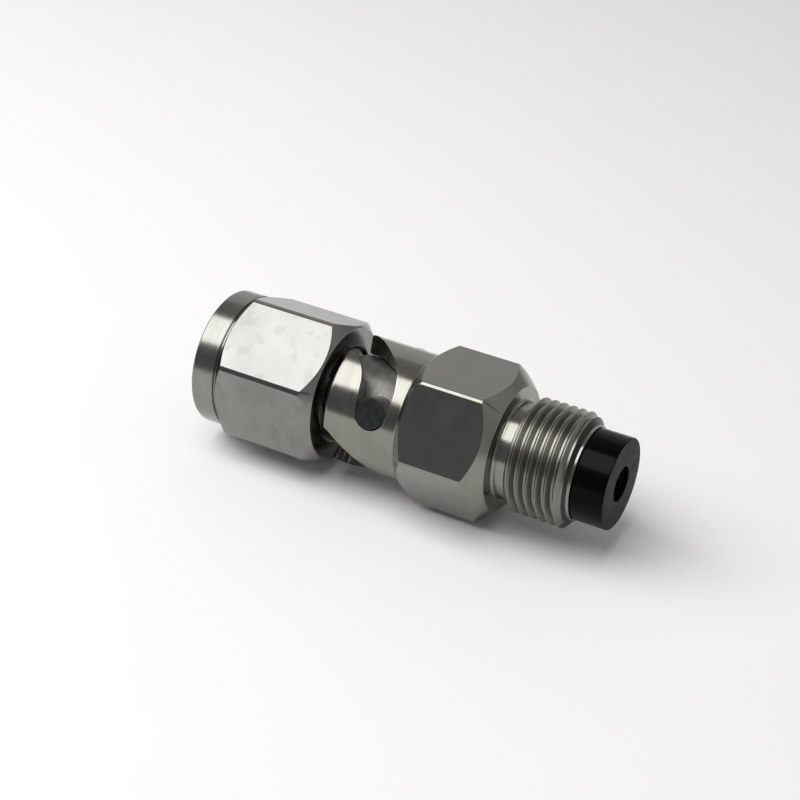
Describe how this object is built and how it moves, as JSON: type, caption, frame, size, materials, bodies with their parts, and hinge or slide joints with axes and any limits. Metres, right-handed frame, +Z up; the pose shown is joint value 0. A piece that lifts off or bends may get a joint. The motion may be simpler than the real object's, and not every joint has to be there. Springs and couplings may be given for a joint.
{
  "type": "pressure relief valve",
  "caption": "Inline stainless relief valve: hexagon swivel nut inlet, pinned bayonet joint, hexagon body with male thread and black plastic sealing nose.",
  "frame": {"origin": "on the valve's axis, at the middle of its length and of its box", "axes": "+X along the axis from the nut to the nose, +Z up, with one flat of the body's hexagon facing down"},
  "size_m": [0.0844, 0.0308, 0.0304],
  "materials": {
    "stainless": "fine turned and milled stainless steel",
    "inner_steel": "turned stainless steel",
    "pin_steel": "dark hardened steel, ground",
    "spring_steel": "drawn spring wire and strip",
    "black_plastic": "turned black plastic, glossy side and matte face",
    "rubber": "black rubber",
    "white_plastic": "white fluoropolymer"
  },
  "bodies": {
    "socket": {"socket_body": "stainless", "nose_seal": "black_plastic", "valve_seat": "inner_steel", "seat_o_ring": "rubber", "valve_spring": "spring_steel", "spring_guide": "inner_steel", "adjusting_screw": "inner_steel", "lock_ring": "inner_steel", "bayonet_spring": "spring_steel"},
    "lifting_poppet": {"poppet": "inner_steel", "poppet_seal": "rubber"},
    "thrust": {"thrust_washer": "white_plastic"},
    "plug": {"bayonet_plug": "inner_steel", "bayonet_pin_1": "pin_steel", "bayonet_pin_2": "pin_steel", "bayonet_pin_3": "pin_steel", "plug_o_ring": "rubber", "backup_ring": "white_plastic", "tail_piece": "inner_steel", "tail_o_ring": "rubber", "nut_retaining_ring": "spring_steel", "nut_thrust_washer": "white_plastic", "inlet_gasket": "rubber"},
    "nut": {"swivel_nut": "stainless"}
  },
  "joints": [
    {"name": "bayonet_slide", "type": "slide", "parent": "socket", "child": "thrust", "axis": [-1, 0, 0], "range_m": [0, 0.00106], "deforming": ["bayonet_spring"]},
    {"name": "bayonet_twist", "type": "hinge", "parent": "thrust", "child": "plug", "pos_m": [0, 0, 0], "axis": [-1, 0, 0], "range_deg": [0, 37]},
    {"name": "nut_spin", "type": "hinge", "parent": "plug", "child": "nut", "pos_m": [0, 0, 0], "axis": [1, 0, 0], "continuous": true},
    {"name": "poppet_lift", "type": "slide", "parent": "socket", "child": "lifting_poppet", "axis": [1, 0, 0], "range_m": [0, 0.0015], "stiffness_N_per_m": 3000, "springref_m": -0.003, "deforming": ["valve_spring"]}
  ],
  "couplings": [
    {"joint": "bayonet_twist", "follows": "bayonet_slide", "rad_per_m": 588.24}
  ]
}
